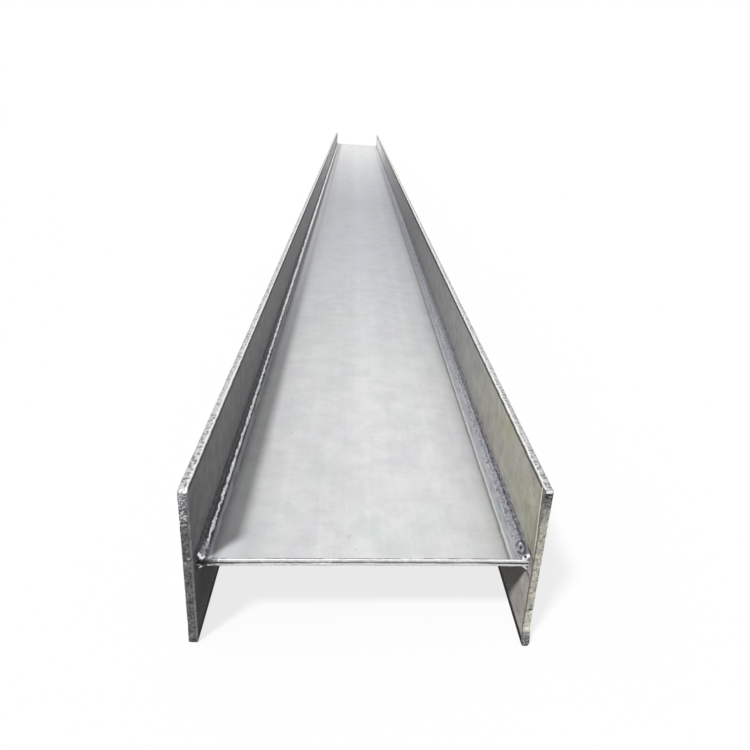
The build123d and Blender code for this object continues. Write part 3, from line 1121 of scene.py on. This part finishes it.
# pushes on the upper beads' near ends: behind the tip, from the flange and from the web, how far
# out (or in, below nothing), and how wide
craterPushes = {
    "left": ((0.0045, 0.0055, 0.0046, -0.0016, 0.0030), (0.0010, 0.0060, 0.0030, 0.0010, 0.0024),
             (0.0035, 0.0088, 0.0015, 0.0008, 0.0022), (0.0035, 0.0020, 0.0064, 0.0008, 0.0022),
             (0.0110, 0.0060, 0.0045, 0.0010, 0.0036), (0.0215, 0.0050, 0.0050, 0.0008, 0.0036)),
    "right": ((0.0040, 0.0052, 0.0046, -0.0018, 0.0030), (0.0150, 0.0076, 0.0040, -0.0014, 0.0028),
              (0.0010, 0.0058, 0.0030, 0.0010, 0.0026), (0.0030, 0.0088, 0.0016, 0.0010, 0.0026),
              (0.0100, 0.0085, 0.0020, 0.0010, 0.0032), (0.0230, 0.0062, 0.0045, 0.0010, 0.0040),
              (0.0300, 0.0040, 0.0060, -0.0008, 0.0030)),
}


def mirrorAll(scale, centre):
    bpy.ops.mesh.select_all(action="SELECT")
    bpy.ops.transform.resize(value=scale, center_override=centre)


def makeBead(name):
    spec, seat = beadShape, beadPlaces[name]
    low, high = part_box(seat["node"])
    nearY = low.y + spec["shoulder"]
    length = high.y - low.y - 2 * spec["shoulder"] - spec["crescent"]
    bead = makeSlice(name, nearY)
    row = bead.modifiers.new("ripples", "ARRAY")
    row.use_relative_offset = False
    row.use_constant_offset = True
    row.constant_offset_displace = (0, spec["pitch"], 0)
    row.count = int(length / spec["pitch"])
    row.use_merge_vertices = True
    row.merge_threshold = 0.0001
    bpy.ops.object.modifier_apply(modifier=row.name)
    capEnd(bead, True)
    capEnd(bead, False)
    openPiece(bead)
    pickFaces(lambda middle, normal: middle.y < nearY + spec["fineLength"])
    bpy.ops.mesh.subdivide(number_cuts=1, smoothness=0.0)
    if seat["up"] > 0:
        outward = Vector((spec["flangeLeg"], 0, spec["webLeg"])).normalized()
        for back, fromFlange, fromWeb, push, reach in craterPushes[seat["side"]]:
            pressIn((-innerFace + fromFlange, low.y + back, webHigh.z + fromWeb), outward * push, reach)
    pickPoints(lambda spot: spot.y < low.y + spec["shoulder"] * spec["drawnFrom"])
    bpy.ops.transform.translate(value=(0, -seat["drawnOut"], 0))
    if seat["side"] == "right":
        mirrorAll((-1, 1, 1), (0, 0, 0))
    if seat["up"] < 0:
        mirrorAll((1, 1, -1), (0, 0, webMiddle))
    bpy.ops.mesh.select_all(action="SELECT")
    bpy.ops.mesh.normals_make_consistent(inside=False)
    closePiece()
    for kind, waves in spec["waves"].items():
        roughen(bead, name + kind, waves, lambda spot: 1)
    bead.data.materials.append(beadMetal[seat["side"]])
    smoothPiece(bead, spec["smooth"])
    return bead


webSteel = makeWebSteel()
shearedEnd = makeShearedEnd()
topEdge = makeTopEdge()
flangeSteel = {side: makeFlangeSteel(side) for side in ("left", "right")}
flangeEnd = {side: makeFlangeEnd(side) for side in ("left", "right")}
groundStrip, facetSteel, facetLine = (makePlain(name) for name in plainFinish)
beadMetal = {side: makeBeadMetal(side) for side in ("left", "right")}
print("beam: materials made")

web = makeWeb()
print("beam: web plate made,", len(web.data.polygons), "faces")
flanges = {side: makeFlange(side) for side in ("left", "right")}
for flange in flanges.values():
    print("beam:", flange.name, "made,", len(flange.data.polygons), "faces")
beads = {name: makeBead(name) for name in beadPlaces}
for bead in beads.values():
    print("beam:", bead.name, "made,", len(bead.data.polygons), "faces")

for piece, node, slot in (
    (web, "web_plate", "web_steel"),
    (flanges["left"], "flange_left", "flange_steel"),
    (flanges["right"], "flange_right", "flange_steel"),
    *((bead, beadPlaces[name]["node"], "weld_metal") for name, bead in beads.items()),
):
    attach(piece, "root")
    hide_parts(node)


# Floor, light and camera

studio = {
    # of the world, on everything but the background: towards the horizon and overhead
    "fill": (0.05, 0.33),
    "sideFill": 0.30,           # low on the side away from the sun
    "sideFillWay": ((0.2, 0.9), (0.05, 0.35)),  # where it grows to that side, and where it fades upwards
    "sunPower": 2.85,
    "sunWidth": 8.0,            # degrees; a wider sun has softer shadows
    "sunTravel": (0.091, 0.117, -0.2),
    "floorSize": 120,
    "floorBelow": 0.0005,       # the beam's feet
    "floorTone": 0.98,          # as the camera sees it
    "floorBounce": 0.015,       # as it lights the beam from below
    "floorWhite": 0.8,          # share of the floor's own white that the camera sees
}


def seenDirectly():
    # 1 for what the camera sees, and for what shines or passes through
    path = addNode("ShaderNodeLightPath").outputs
    either = maths("MAXIMUM", path["Is Camera Ray"], path["Is Glossy Ray"])
    return maths("MAXIMUM", either, path["Is Transmission Ray"])


def makeWorld():
    world = bpy.data.worlds.new("Studio")
    bpy.context.scene.world = world
    world.use_nodes = True
    paper["tree"] = world.node_tree
    background = world.node_tree.nodes["Background"].inputs
    way = splitUp(addNode("ShaderNodeTexCoord").outputs["Generated"])
    toSide, upwards = studio["sideFillWay"]
    sideFill = times(remap(way["X"], *toSide, 0.0, studio["sideFill"]), remap(way["Z"], *upwards, 1.0, 0.0))
    fill = maths("ADD", remap(way["Z"], 0.0, 0.7, *studio["fill"]), sideFill)
    feed(background["Color"], 1.0)
    feed(background["Strength"], maths("MULTIPLY_ADD", seenDirectly(), maths("SUBTRACT", 1.0, fill), fill))


def makeFloor():
    bpy.ops.mesh.primitive_plane_add(size=studio["floorSize"], location=(0, 0, -studio["floorBelow"]))
    floor = bpy.context.object
    floor.name = "floor"
    material = bpy.data.materials.new("Pale Floor")
    material.use_nodes = True
    paper["tree"] = material.node_tree
    material.node_tree.nodes.clear()
    seen = seenDirectly()
    tone = blend(seen, studio["floorBounce"], studio["floorTone"])
    matt = feedAll(addNode("ShaderNodeBsdfDiffuse"), Color=tone)[0]
    mixed = addNode("ShaderNodeMixShader")
    shares = (times(seen, studio["floorWhite"]), matt, addNode("ShaderNodeEmission").outputs[0])
    for socket, value in zip(mixed.inputs, shares):
        feed(socket, value)
    feedAll(addNode("ShaderNodeOutputMaterial"), Surface=mixed.outputs[0])
    floor.data.materials.append(material)


def makeSun():
    lamp = bpy.data.lights.new("sun", "SUN")
    lamp.energy = studio["sunPower"]
    lamp.angle = math.radians(studio["sunWidth"])
    sun = bpy.data.objects.new("sun", lamp)
    bpy.context.scene.collection.objects.link(sun)
    sun.rotation_euler = Vector(studio["sunTravel"]).to_track_quat("-Z", "Y").to_euler()


shot = {
    "place": (-0.0334, -3.5627, 0.5676),
    "pitch": 23.2,              # degrees down
    "yaw": 5.69,                # to the right
    "roll": 4.6,
    "focal": 667.07,            # in pixels of the square frame
    "centre": (404.56, 380.96),
    "frameSize": 750,
    "sensor": 36,               # millimetres
    "clip": (0.01, 200),
}


def makeCamera():
    lens = bpy.data.cameras.new("camera")
    camera = bpy.data.objects.new("camera", lens)
    bpy.context.scene.collection.objects.link(camera)
    turn = Euler((math.radians(90 - shot["pitch"]), 0, math.radians(-shot["yaw"]))).to_matrix().to_4x4()
    roll = Matrix.Rotation(math.radians(shot["roll"]), 4, "Z")
    camera.matrix_world = Matrix.Translation(shot["place"]) @ turn @ roll
    size = shot["frameSize"]
    lens.sensor_width = shot["sensor"]
    lens.lens = shot["focal"] / size * lens.sensor_width
    lens.shift_x = (size / 2 - shot["centre"][0]) / size
    lens.shift_y = (shot["centre"][1] - size / 2) / size
    lens.clip_start, lens.clip_end = shot["clip"]
    bpy.context.scene.camera = camera


makeWorld()
makeFloor()
makeSun()
makeCamera()
bpy.context.scene.view_settings.view_transform = "Standard"
print("beam: floor, light and camera made")
